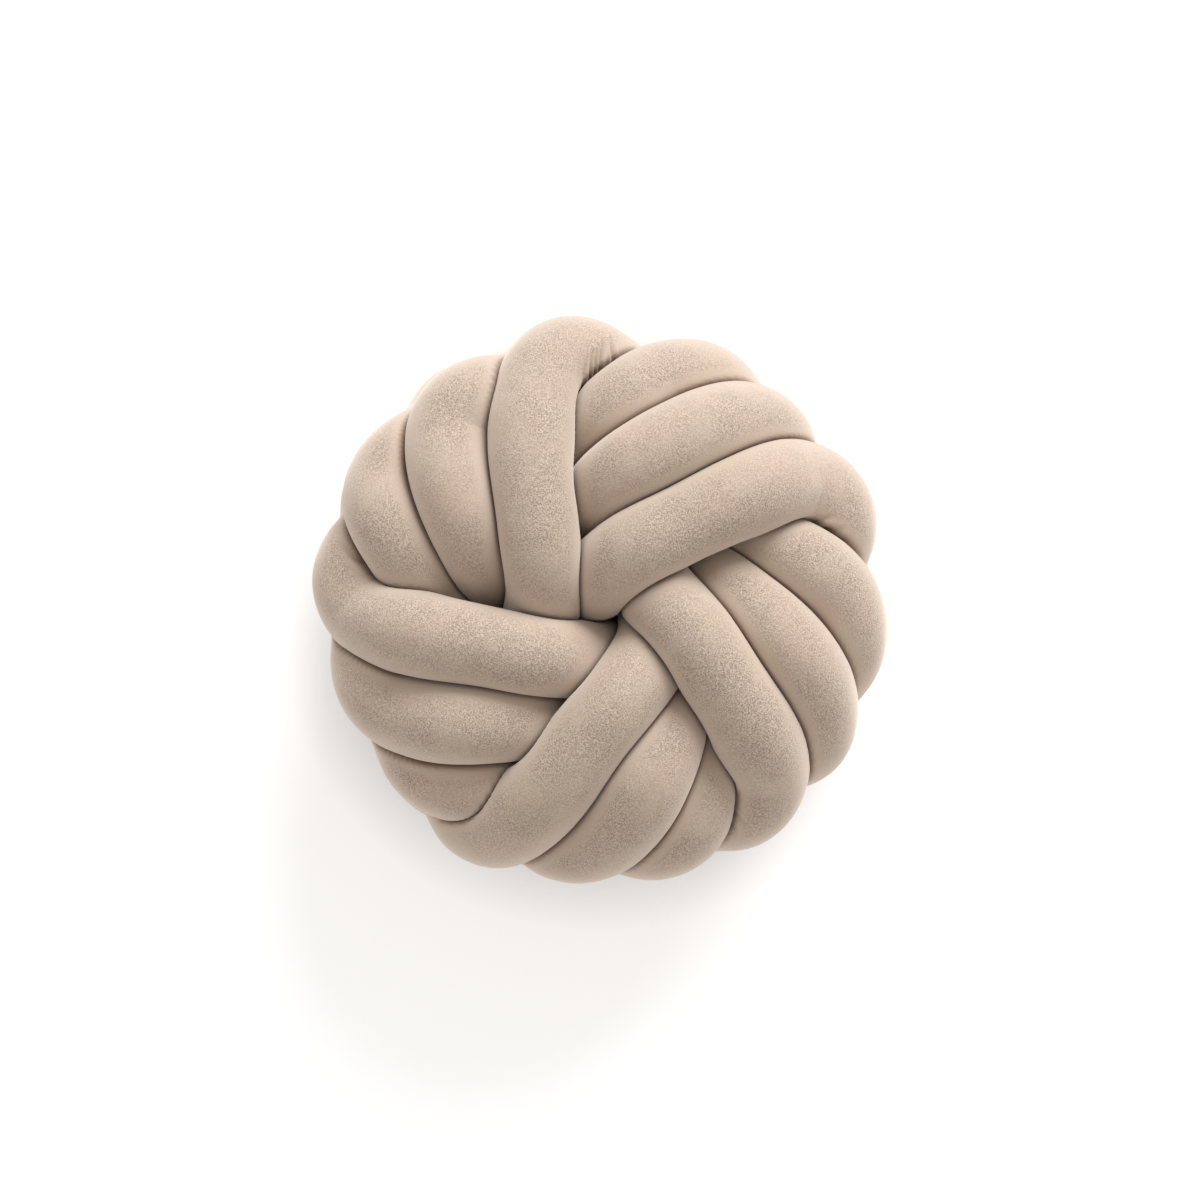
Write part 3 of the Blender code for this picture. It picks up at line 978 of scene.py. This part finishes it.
    @staticmethod
    def from_crease(crease: Crease, points: np.ndarray) -> Tuple[np.ndarray, np.ndarray]:
        """Where points lie along and beside a fold.

        Args:
            crease: The fold.
            points: Rows of X, Y and Z, in metres.

        Returns:
            The share of the way from its start to its end, and the distance from its line.
        """
        start, end = np.array(crease.start) / MM_IN_M, np.array(crease.end) / MM_IN_M
        line = end - start
        length = math.hypot(*line)
        offset = points[..., :2] - start
        share = offset @ line / length ** 2
        beside = (offset[..., 0] * line[1] - offset[..., 1] * line[0]) / length
        return share, beside

    def near_crease(self, curve: np.ndarray) -> np.ndarray:
        """Find where the drawn folds cross the tube.

        Args:
            curve: The close-set centreline.

        Returns:
            1 for each of its points that a fold lies over, and 0 for the others.
        """
        near = np.zeros(len(curve))
        reach = self.winding.tube * self.drawn.section_reach
        for crease in self.creases():
            middle = (np.array(crease.start) + np.array(crease.end)) / (2 * MM_IN_M)
            away = np.hypot(curve[:, 0] - middle[0], curve[:, 1] - middle[1])
            near[(away < reach) & (curve[:, 2] > 0)] = 1
        return near

    def drawn_folds(self) -> np.ndarray:
        """Shape the drawn folds, and the ridges of cloth beside them.

        Returns:
            How far the cloth goes in at each point, in metres.
        """
        drawn = self.drawn
        points = self.points()
        total = np.zeros(self.radius.shape)
        face = ramp(self.outward[:, :, 2], drawn.from_upward, drawn.upward_range)
        for crease in self.creases():
            share, beside = self.from_crease(crease, points)
            width = crease.width / MM_IN_M
            along = np.clip(drawn.outer_end - share ** 2, 0, 1)
            along = along * np.clip(drawn.inner_end + share * drawn.inner_rise, 0, 1)
            trough = np.exp(-((beside / width) ** 2))
            ridges = np.exp(-(((np.abs(beside) - drawn.ridge_place * width) / width) ** 2))
            depth = crease.depth / MM_IN_M * along
            total += depth * (trough - drawn.ridge_height * ridges)
        return total * face * (points[:, :, 2] > 0)

    def bend_folds(self) -> np.ndarray:
        """Scatter small folds along the inside of each sharp bend.

        Returns:
            How far the cloth goes in at each point, in metres.
        """
        small = self.small
        strength = np.linalg.norm(self.bend, axis=1)
        sharp = ramp(strength * self.winding.tube / 2, small.from_bend, small.bend_range)
        toward = self.bend / np.maximum(strength, SLIGHT)[:, None]
        inner = np.clip((self.outward * toward[:, None, :]).sum(-1), 0, 1)
        draw = np.random.default_rng(small.seed + self.number)
        count = int(self.length / small.pitch)
        spots = np.arange(count) + draw.uniform(-small.scatter, small.scatter, count)
        depths = draw.uniform(small.shallowest, small.deepest, count)
        leans = draw.uniform(-small.lean, small.lean, count)
        total = np.zeros(inner.shape)
        for spot, depth, lean in zip(spots * small.pitch, depths, leans):
            away = np.abs(self.distance - spot)
            away = np.minimum(away, self.length - away)
            close = np.nonzero(away < small.reach * small.pitch)[0]
            signed = self.distance[close] - spot
            signed = (signed + self.length / 2) % self.length - self.length / 2
            shifted = signed[:, None] + lean * (1 - inner[close])
            total[close] += depth * np.exp(-((shifted / (small.width * small.pitch)) ** 2))
        low = ramp(small.below - self.points()[:, :, 2], 0.0, small.height_range)
        depth = small.depth * sharp[:, None] * low
        return depth * inner ** small.inner_power * np.minimum(total, small.most)

    def free(self) -> np.ndarray:
        """How free of its neighbours the cloth lies, from 0 to 1."""
        return ramp(self.limit - self.radius, 0.0, self.free_width)

    def groove_shade(self) -> np.ndarray:
        """How much painted shade the cloth gets: fully where two tubes touch, partly in the
        drawn folds.

        Returns:
            A share from 0 to 1 for each point.
        """
        touching = 1 - ramp(self.limit - self.radius, 0.0, self.groove_shade_width)
        fold = ramp(self.drawn_folds(), 0.0, self.drawn.deepest)
        return np.maximum(touching ** 2, self.drawn.shade * fold)

    def pile_and_sheen(self) -> np.ndarray:
        """How much speckled pile shows: least on flanks and where tubes press on each other,
        where the paler tone, partly painted sheen, shows instead.

        Returns:
            A share from 0 to 1 for each point.
        """
        upward = eased(ramp(self.outward[:, :, 2], self.pile_from, self.pile_range))
        clear = eased(ramp(self.limit / self.radius, 1.0, self.pressed_reach))
        return (self.flank_speckle + (1 - self.flank_speckle) * upward) * clear

    def points(self) -> np.ndarray:
        """The skin's points, ring by ring."""
        return self.centre[:, None, :] + self.radius[:, :, None] * self.outward


class Bench:
    """Adds nodes to one tree and links them up."""

    def __init__(self, tree: bpy.types.NodeTree) -> None:
        """Take the tree."""
        self.nodes, self.links = tree.nodes, tree.links

    def add(self, kind: str, inputs: Dict[str, Value], **options: str) -> bpy.types.Node:
        """Add a node.

        Args:
            kind: The node's type.
            inputs: Numbers or sockets for its inputs, by name.
            options: Its own settings.

        Returns:
            The node.
        """
        node = self.nodes.new(kind)
        for name, option in options.items():
            setattr(node, name, option)
        for name, value in inputs.items():
            self.feed(node.inputs[name], value)
        return node

    def feed(self, socket: Socket, value: Value) -> None:
        """Link a socket to an input, or set the input's own value.

        Args:
            socket: The input.
            value: The socket or value.
        """
        if isinstance(value, Socket):
            self.links.new(value, socket)
        else:
            socket.default_value = value

    def maths(self, operation: str, first: Value, second: Value) -> Socket:
        """Work out a sum or product of two numbers or sockets.

        Args:
            operation: Its name.
            first: The first number or socket.
            second: The second one.

        Returns:
            The result's socket.
        """
        node = self.nodes.new("ShaderNodeMath")
        node.operation = operation
        self.feed(node.inputs[0], first)
        self.feed(node.inputs[1], second)
        return node.outputs[0]

    def spread(self, value: Socket, levels: Pair, most: float = 1.0) -> Socket:
        """Spread a value between two levels from nothing to the most.

        Args:
            value: The value's socket.
            levels: The lower and the upper level.
            most: What the upper level becomes.

        Returns:
            The result's socket.
        """
        inputs = {"Value": value, "From Min": levels[0], "From Max": levels[1], "To Max": most}
        return self.add("ShaderNodeMapRange", inputs).outputs["Result"]

    def mixed(
        self, share: Socket, low: Union[Colour, Socket], high: Union[Colour, Socket]
    ) -> Socket:
        """Mix two colours.

        Args:
            share: The socket that says how much of the second one shows.
            low: The first colour or its socket.
            high: The second one.

        Returns:
            The mixed colour's socket.
        """
        node = self.nodes.new("ShaderNodeMix")
        node.data_type = "RGBA"
        self.feed(node.inputs["Factor"], share)
        for socket, colour in ((node.inputs["A"], low), (node.inputs["B"], high)):
            self.feed(socket, colour if isinstance(colour, Socket) else (*colour, 1.0))
        return next(output for output in node.outputs if output.type == "RGBA")


@dataclass(frozen=True)
class Velvet:
    """Short-pile beige velvet, speckled where the pile faces up clear of its neighbours, paler
    where it lies flat on flanks and pressed edges, partly as painted sheen, with painted shade
    where tubes touch and in the folds.
    """

    name: str = "beige_velvet"
    speck: Colour = (0.55, 0.443, 0.362)
    hollow: Colour = (0.25, 0.19, 0.148)
    # paler tone of the flat pile on flanks and pressed edges: partly the pile's own look, partly
    # painted sheen
    smooth_sheen_tone: Colour = (0.48, 0.388, 0.315)
    rose: Colour = (0.51, 0.372, 0.305)
    straw: Colour = (0.455, 0.372, 0.275)
    # painted shade: dark brown laid into the colour where tubes touch and in the drawn folds
    shade: Colour = (0.12, 0.05, 0.022)
    speck_size: float = 0.00112
    speck_levels: Pair = (0.36, 0.66)
    speck_roughness: float = 0.6
    speck_seed: float = 0.0
    brush_size: float = 0.028
    brush_levels: Pair = (0.0, 0.5)
    brush_seed: float = 5.0
    patch_size: float = 0.045
    patch_levels: Pair = (0.52, 0.75)
    patch_most: float = 0.4
    rose_seed: float = 3.0
    straw_seed: float = 8.0
    shade_most: float = 0.85
    noise_detail: float = 1.0
    noise_roughness: float = 0.5
    pile_height: float = 0.0005
    roughness: float = 0.9
    specular: float = 0.12
    sheen: float = 0.7
    sheen_roughness: float = 0.5
    sheen_tint: Colour = (1.0, 0.9, 0.82)

    def noise(self, bench: Bench, size: float, seed: float, roughness: float) -> Socket:
        """Lay a noise over the cloth.

        Args:
            bench: Where the nodes are made.
            size: About how large its spots are.
            seed: The fixed seed.
            roughness: How much its finer spots count.

        Returns:
            The noise's socket.
        """
        inputs = {
            "Vector": bench.nodes.new("ShaderNodeTexCoord").outputs["Object"],
            "W": seed,
            "Scale": 1.0 / size,
            "Detail": self.noise_detail,
            "Roughness": roughness,
        }
        return bench.add("ShaderNodeTexNoise", inputs, noise_dimensions="4D").outputs["Fac"]

    def material(self) -> bpy.types.Material:
        """Build the node material.

        Returns:
            The velvet, read from object coordinates and from two attributes of the skin: how
            much speckled pile shows against the paler tone that is partly painted sheen, and
            where painted shade lies.
        """
        material = bpy.data.materials.new(self.name)
        material.use_nodes = True
        bench = Bench(material.node_tree)
        shader = bench.nodes["Principled BSDF"]
        shader.inputs["Roughness"].default_value = self.roughness
        shader.inputs["Specular IOR Level"].default_value = self.specular
        shader.inputs["Sheen Weight"].default_value = self.sheen
        shader.inputs["Sheen Roughness"].default_value = self.sheen_roughness
        shader.inputs["Sheen Tint"].default_value = (*self.sheen_tint, 1.0)
        pile_and_sheen, groove_shade = (
            bench.add("ShaderNodeAttribute", {}, attribute_name=name).outputs["Fac"]
            for name in ("pile_and_sheen", "groove_shade")
        )
        fine = self.noise(bench, self.speck_size, self.speck_seed, self.speck_roughness)
        brush = self.noise(bench, self.brush_size, self.brush_seed, self.noise_roughness)
        # speckled pile where it faces up clear of neighbours; elsewhere the paler tone, partly
        # painted sheen
        speckle_against_sheen = bench.maths("MULTIPLY", pile_and_sheen, bench.spread(brush, self.brush_levels))
        specks = bench.mixed(bench.spread(fine, self.speck_levels), self.hollow, self.speck)
        colour = bench.mixed(speckle_against_sheen, self.smooth_sheen_tone, specks)
        for seed, tint in ((self.rose_seed, self.rose), (self.straw_seed, self.straw)):
            patch = self.noise(bench, self.patch_size, seed, self.noise_roughness)
            patch = bench.spread(patch, self.patch_levels, self.patch_most)
            colour = bench.mixed(patch, colour, tint)
        # painted shade: the colour turns to dark brown where tubes touch and in the folds
        painted_shade = bench.spread(groove_shade, (0.0, 1.0), self.shade_most)
        bench.feed(shader.inputs["Base Color"], bench.mixed(painted_shade, colour, self.shade))
        bump = {"Distance": self.pile_height, "Strength": pile_and_sheen, "Height": fine}
        relief = bench.add("ShaderNodeBump", bump).outputs["Normal"]
        bench.feed(shader.inputs["Normal"], relief)
        return material


@dataclass
class FillingTree:
    """Geometry Nodes that give a skin its folds and the unevenness of its filling."""

    name: str = "uneven_filling"
    lump_size: float = 0.045
    lump_depth: float = 0.0012
    lump_middle: float = 0.62
    lump_detail: float = 1.0
    fold_share: float = 1.0

    @staticmethod
    def attribute(bench: Bench, label: str, kind: str) -> Socket:
        """Read a named attribute of the skin.

        Args:
            bench: Where the nodes are made.
            label: The attribute's name.
            kind: Its data type.

        Returns:
            Its socket.
        """
        inputs = {"Name": label}
        node = bench.add("GeometryNodeInputNamedAttribute", inputs, data_type=kind)
        return next(socket for socket in node.outputs if socket.enabled)

    def interface(self, tree: bpy.types.NodeTree) -> None:
        """Give the tree its named inputs and its output.

        Args:
            tree: The new tree.
        """
        face = tree.interface
        face.new_socket("Geometry", in_out="INPUT", socket_type="NodeSocketGeometry")
        sizes = (
            ("Lump Size", self.lump_size),
            ("Lump Depth", self.lump_depth),
            ("Fold Share", self.fold_share),
        )
        for label, value in sizes:
            socket = face.new_socket(label, in_out="INPUT", socket_type="NodeSocketFloat")
            socket.default_value = value
        face.new_socket("Cloth", in_out="INPUT", socket_type="NodeSocketMaterial")
        face.new_socket("Geometry", in_out="OUTPUT", socket_type="NodeSocketGeometry")

    def build(self) -> bpy.types.NodeTree:
        """Build the tree.

        Returns:
            A tree with named inputs for the lumps, the folds and the cloth.
        """
        tree = bpy.data.node_groups.new(self.name, "GeometryNodeTree")
        self.interface(tree)
        bench = Bench(tree)
        given = bench.nodes.new("NodeGroupInput").outputs
        noise = bench.add("ShaderNodeTexNoise", {
            "Vector": bench.nodes.new("GeometryNodeInputPosition").outputs[0],
            "Scale": bench.maths("DIVIDE", 1.0, given["Lump Size"]),
            "Detail": self.lump_detail,
        })
        lump = bench.maths("SUBTRACT", noise.outputs["Fac"], self.lump_middle)
        lump = bench.maths("MULTIPLY", lump, given["Lump Depth"])
        lump = bench.maths("MULTIPLY", lump, self.attribute(bench, "free", "FLOAT"))
        fold = self.attribute(bench, "fold", "FLOAT")
        fold = bench.maths("MULTIPLY", fold, given["Fold Share"])
        scale = bench.nodes.new("ShaderNodeVectorMath")
        scale.operation = "SCALE"
        bench.feed(scale.inputs[0], self.attribute(bench, "outward", "FLOAT_VECTOR"))
        bench.feed(scale.inputs["Scale"], bench.maths("SUBTRACT", lump, fold))
        moved = {"Geometry": given["Geometry"], "Offset": scale.outputs[0]}
        geometry = bench.add("GeometryNodeSetPosition", moved).outputs[0]
        real = {"Geometry": geometry}
        geometry = bench.add("GeometryNodeRealizeInstances", real).outputs[0]
        dressed = {"Geometry": geometry, "Material": given["Cloth"]}
        geometry = bench.add("GeometryNodeSetMaterial", dressed).outputs[0]
        bench.feed(bench.nodes.new("NodeGroupOutput").inputs[0], geometry)
        return tree


@dataclass
class StuffedTube:
    """One lay's tube: a closed ring of stuffed velvet."""

    lay: Lay
    skin: Skin
    floor_skin: float = 0.0003

    @property
    def node(self) -> str:
        """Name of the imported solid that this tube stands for."""
        return f"tube_{self.lay.name.lower()}_lay"

    @staticmethod
    def store(
        mesh: bpy.types.Mesh, name: str, values: np.ndarray, kind: str = "FLOAT"
    ) -> None:
        """Keep values on the mesh's points.

        Args:
            mesh: The mesh.
            name: The attribute's name.
            values: The values, point by point.
            kind: Its data type.
        """
        layer = mesh.attributes.new(name, kind, "POINT")
        key = "value" if kind == "FLOAT" else "vector"
        layer.data.foreach_set(key, np.ascontiguousarray(values, dtype=np.float32).ravel())

    def bare_mesh(self, shift: np.ndarray) -> bpy.types.Mesh:
        """Build the ring-shaped mesh, with what the filling and the velvet read from it.

        Args:
            shift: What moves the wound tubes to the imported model's place.

        Returns:
            The mesh before its filling is made uneven.
        """
        skin = self.skin
        points = skin.points() + shift
        rings, sides = points.shape[:2]
        ring, side = np.meshgrid(np.arange(rings), np.arange(sides), indexing="ij")
        ahead, beside = (ring + 1) % rings, (side + 1) % sides
        corners = (
            ring * sides + side, ring * sides + beside,
            ahead * sides + beside, ahead * sides + side,
        )
        faces = np.stack(corners, -1).reshape(-1, 4)
        mesh = bpy.data.meshes.new(f"{self.lay.name.lower()}_tube")
        mesh.from_pydata(points.reshape(-1, 3).tolist(), [], faces.tolist())
        self.store(mesh, "outward", skin.outward, "FLOAT_VECTOR")
        self.store(mesh, "fold", skin.bend_folds() + skin.drawn_folds())
        self.store(mesh, "free", skin.free())
        # where speckled pile shows against the paler tone, partly painted sheen
        self.store(mesh, "pile_and_sheen", skin.pile_and_sheen())
        # painted shade where tubes touch and in the drawn folds
        self.store(mesh, "groove_shade", skin.groove_shade())
        mesh.shade_smooth()
        return mesh

    def filled(
        self, bare: bpy.types.Object, tree: bpy.types.NodeTree, cloth: bpy.types.Material
    ) -> bpy.types.Mesh:
        """Apply the filling's tree to the bare skin.

        Args:
            bare: The object with the bare mesh.
            tree: The filling's node tree.
            cloth: The velvet.

        Returns:
            The finished mesh; the bare object is removed.
        """
        modifier = bare.modifiers.new("filling", "NODES")
        modifier.node_group = tree
        inputs = {
            item.name: item.identifier
            for item in tree.interface.items_tree
            if item.in_out == "INPUT"
        }
        modifier[inputs["Cloth"]] = cloth
        bpy.context.view_layer.update()
        evaluated = bare.evaluated_get(bpy.context.evaluated_depsgraph_get())
        mesh = bpy.data.meshes.new_from_object(evaluated)
        mesh.name = self.node.replace("tube", "velvet_tube")
        bpy.data.objects.remove(bare, do_unlink=True)
        return mesh

    def build(
        self, shift: np.ndarray, tree: bpy.types.NodeTree, cloth: bpy.types.Material
    ) -> None:
        """Args:
            shift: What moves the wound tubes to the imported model's place.
            tree: The filling's node tree.
            cloth: The velvet.
        """
        bare = bpy.data.objects.new("bare_skin", self.bare_mesh(shift))
        bpy.context.collection.objects.link(bare)
        mesh = self.filled(bare, tree, cloth)
        places = np.empty(len(mesh.vertices) * 3, dtype=np.float32)
        mesh.vertices.foreach_get("co", places)
        places = places.reshape(-1, 3)
        places[:, 2] = np.maximum(places[:, 2], self.floor_skin)
        mesh.vertices.foreach_set("co", places.ravel())
        for name in ("outward", "fold", "free"):
            mesh.attributes.remove(mesh.attributes[name])
        mesh.update()
        piece = bpy.data.objects.new(mesh.name, mesh)
        bpy.context.collection.objects.link(piece)
        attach(piece, "root")
        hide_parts(self.node)
        LOG.info("%s: %d rings, %d faces", piece.name, len(self.skin.centre), len(mesh.polygons))


@dataclass
class KnotCushion:
    """The whole cushion: its winding, its tubes and their cloth."""

    winding: Winding = field(default_factory=Winding)
    cloth: Velvet = field(default_factory=Velvet)
    filling: FillingTree = field(default_factory=FillingTree)

    def build(self, low: Sequence[float], high: Sequence[float]) -> None:
        """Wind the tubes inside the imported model's box.

        Args:
            low: The box's lowest corner.
            high: The box's highest corner.
        """
        routes = self.winding.settled_routes()
        crowd = Crowd(routes)
        skins = []
        for number, route in enumerate(routes):
            skin = Skin(route, number, self.winding)
            skin.press(crowd)
            skins.append(skin)
        every = np.vstack([skin.points().reshape(-1, 3) for skin in skins])
        middle = (every.min(0) + every.max(0)) / 2
        shift = (np.array(low) + np.array(high)) / 2 - middle
        shift[2] = high[2] - every[:, 2].max()
        tree = self.filling.build()
        cloth = self.cloth.material()
        for lay, skin in zip(Lay, skins):
            StuffedTube(lay, skin).build(shift, tree, cloth)


@dataclass(frozen=True)
class PaleGround:
    """The floor's matt white, with a glow that stays off the part under the cushion."""

    name: str = "pale_floor"
    tone: float = 0.66
    glow: float = 0.45
    glow_levels: Pair = (0.14, 0.27)
    roughness: float = 0.9
    specular: float = 0.1

    def material(self) -> bpy.types.Material:
        """Build the node material.

        Returns:
            The ground, read from object coordinates.
        """
        material = bpy.data.materials.new(self.name)
        material.use_nodes = True
        bench = Bench(material.node_tree)
        shader = bench.nodes["Principled BSDF"]
        shader.inputs["Base Color"].default_value = (self.tone, self.tone, self.tone, 1.0)
        shader.inputs["Emission Color"].default_value = (1.0, 1.0, 1.0, 1.0)
        shader.inputs["Roughness"].default_value = self.roughness
        shader.inputs["Specular IOR Level"].default_value = self.specular
        reach = bench.nodes.new("ShaderNodeVectorMath")
        reach.operation = "LENGTH"
        place = bench.nodes.new("ShaderNodeTexCoord").outputs["Object"]
        bench.feed(reach.inputs[0], place)
        glow = bench.spread(reach.outputs["Value"], self.glow_levels, self.glow)
        bench.feed(shader.inputs["Emission Strength"], glow)
        return material


@dataclass
class Studio:
    """A pale floor, soft light and the camera straight above the face."""

    photo_width: float = 0.942
    mid_height: float = 0.12
    camera_height: float = 3.2
    sensor_width: float = 36.0
    ground: PaleGround = field(default_factory=PaleGround)
    floor_size: float = 14.0
    lamp_direction: float = math.radians(68.0)
    lamp_elevation: float = math.radians(24.5)
    lamp_width: float = math.radians(36.0)
    lamp_strength: float = 3.65
    lamp_tint: Colour = (0.955, 0.98, 1.0)
    sky_tint: Colour = (1.0, 0.965, 0.93)
    sky_strength: float = 0.78

    def floor(self) -> None:
        """Lay the pale floor."""
        half = self.floor_size / 2
        mesh = bpy.data.meshes.new("floor")
        corners = [(-half, -half, 0), (half, -half, 0), (half, half, 0), (-half, half, 0)]
        mesh.from_pydata(corners, [], [(0, 1, 2, 3)])
        mesh.materials.append(self.ground.material())
        item = bpy.data.objects.new("floor", mesh)
        bpy.context.collection.objects.link(item)
        item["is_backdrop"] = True

    def lamp(self) -> None:
        """Hang the large lamp, so far off that it lights the whole cushion alike."""
        light = bpy.data.lights.new("top_lamp", "SUN")
        light.angle = self.lamp_width
        light.color = self.lamp_tint
        light.energy = self.lamp_strength
        item = bpy.data.objects.new("top_lamp", light)
        item.rotation_euler = (
            math.pi / 2 - self.lamp_elevation, 0.0, math.pi / 2 + self.lamp_direction
        )
        bpy.context.collection.objects.link(item)

    def light(self) -> None:
        """Light the set: a bright sky all round, and one large lamp beyond the top edge."""
        world = bpy.data.worlds.new("soft_sky")
        world.use_nodes = True
        sky = world.node_tree.nodes["Background"]
        sky.inputs["Color"].default_value = (*self.sky_tint, 1.0)
        sky.inputs["Strength"].default_value = self.sky_strength
        bpy.context.scene.world = world
        self.lamp()

    def camera(self) -> None:
        """Set the camera above the face, framed as the photo is."""
        data = bpy.data.cameras.new("camera")
        data.sensor_width = self.sensor_width
        distance = self.camera_height - self.mid_height
        data.lens = data.sensor_width * distance / self.photo_width
        item = bpy.data.objects.new("camera", data)
        item.location = (0.0, 0.0, self.camera_height)
        bpy.context.collection.objects.link(item)
        bpy.context.scene.camera = item

    def build(self) -> None:
        """Build the set."""
        self.camera()
        self.floor()
        self.light()
        bpy.context.scene.view_settings.view_transform = "Standard"
        LOG.info("studio: floor, lamp and camera")


def main() -> None:
    """Build the studio and the cushion."""
    logging.basicConfig(level=logging.INFO, format="%(name)s: %(message)s")
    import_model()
    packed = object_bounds()
    Studio().build()
    KnotCushion().build(*packed)


if __name__ == "__main__":
    main()
